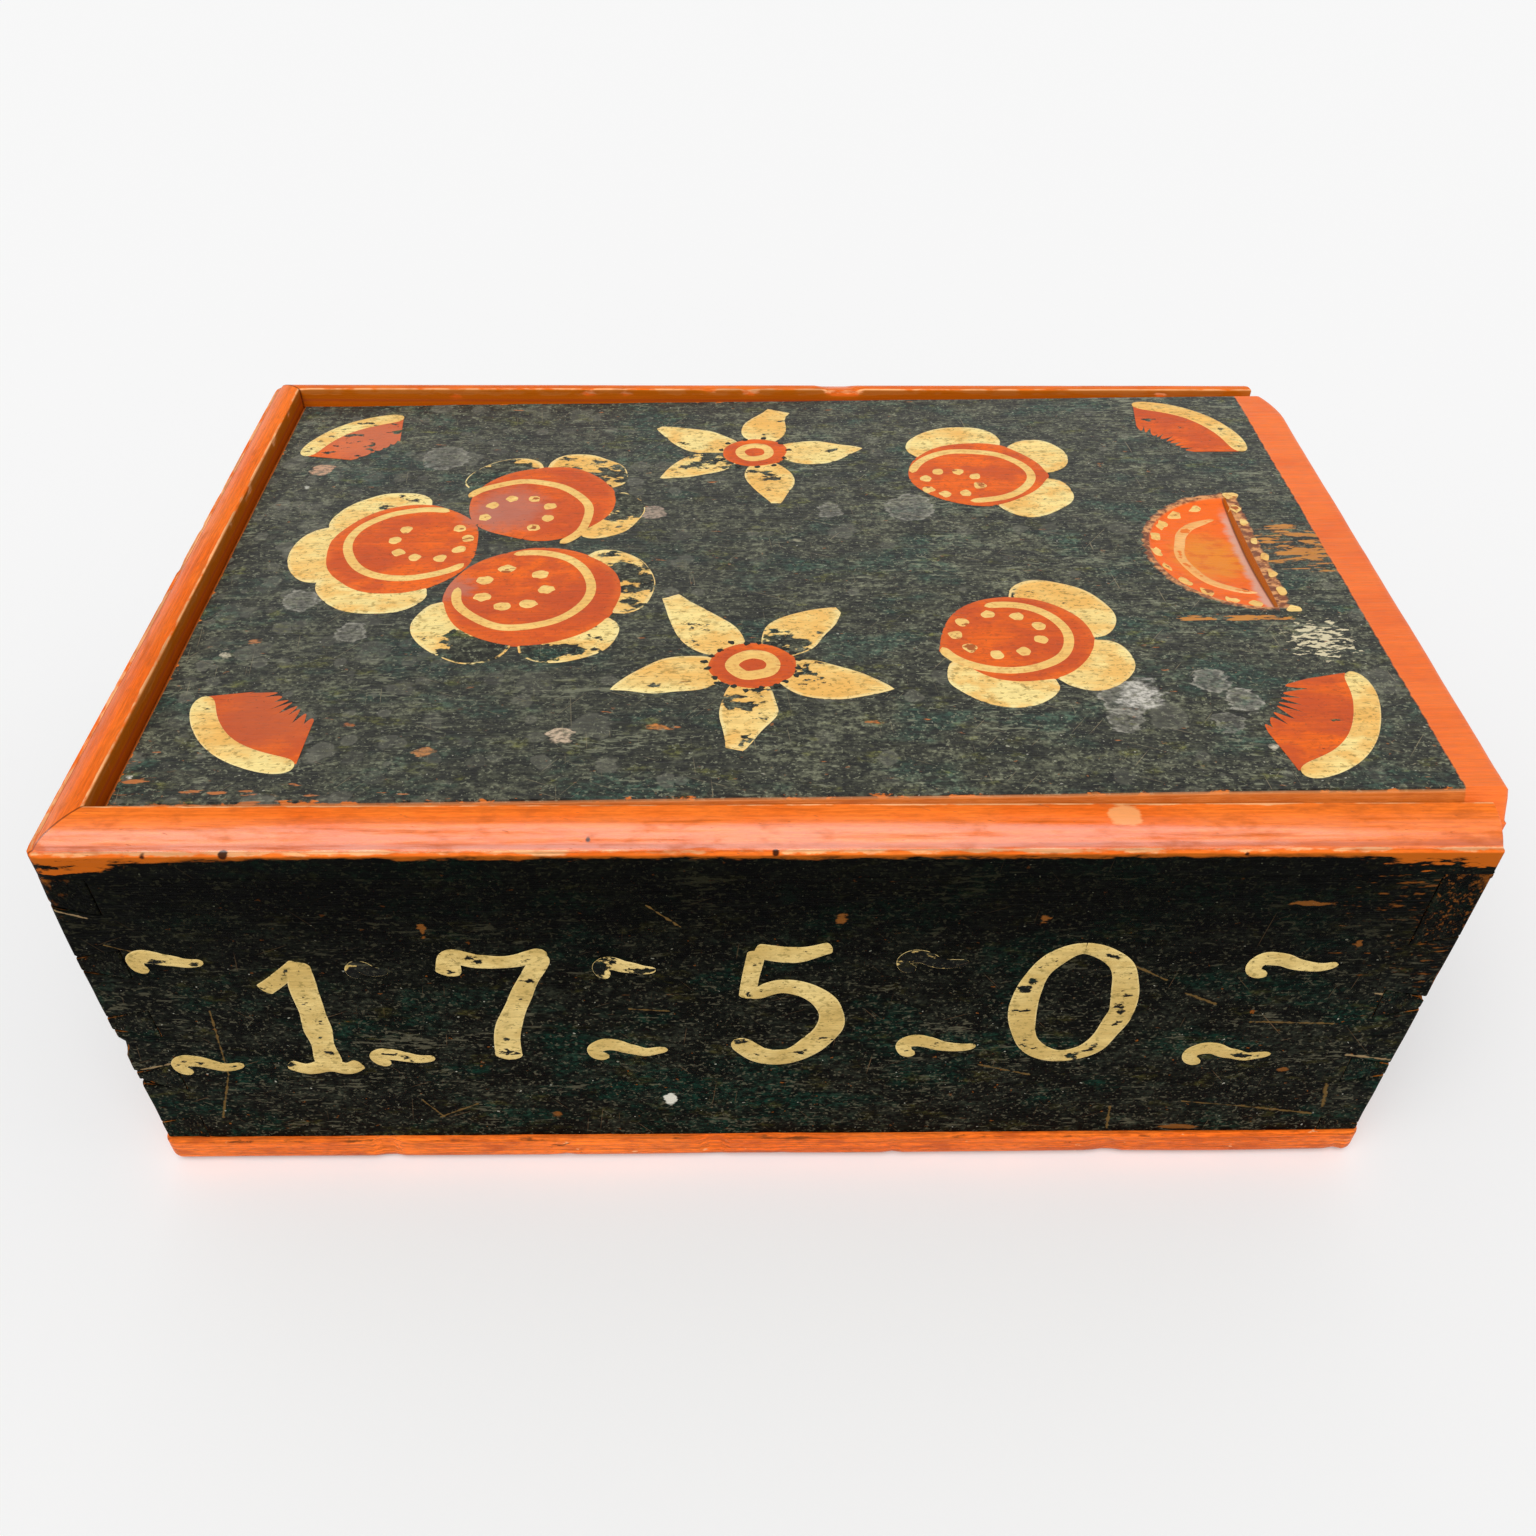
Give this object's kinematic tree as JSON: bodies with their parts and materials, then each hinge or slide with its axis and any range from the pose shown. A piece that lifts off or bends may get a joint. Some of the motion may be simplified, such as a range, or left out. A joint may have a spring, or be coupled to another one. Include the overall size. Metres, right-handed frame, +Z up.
{
  "type": "slide-lid box",
  "caption": "Painted wooden keepsake box with dovetailed walls, a nailed bottom board, moulded top rails and a bevelled lid with a thumb pull that slides out to one end.",
  "frame": {"origin": "middle of the dovetailed case on the flat underside that the box stands on", "axes": "+X along the box towards the end that the lid slides out of, +Y from the front to the back, +Z up"},
  "size_m": [0.3577, 0.238, 0.1355],
  "materials": {
    "dark_paint": "old green-black oil paint on softwood, rubbed through at the edges",
    "orange_paint": "old orange-red oil paint on softwood, satin, worn at the arrises",
    "lid_paint": "old green-black oil paint on softwood with painted flowers and an orange end",
    "iron": "dark rusted hand-made iron"
  },
  "bodies": {
    "case": {"bottom_board": "orange_paint", "front_board": "dark_paint", "back_board": "dark_paint", "left_end_board": "dark_paint", "right_end_board": "dark_paint", "front_rail": "orange_paint", "back_rail": "orange_paint", "left_rail": "orange_paint", "front_rail_sprigs": "iron", "back_rail_sprigs": "iron", "left_rail_sprigs": "iron", "bottom_nails": "iron"},
    "lid": {"lid": "lid_paint"}
  },
  "joints": [
    {"name": "lid_slide", "type": "slide", "parent": "case", "child": "lid", "axis": [1, 0, 0], "range_m": [0, 0.335]}
  ]
}
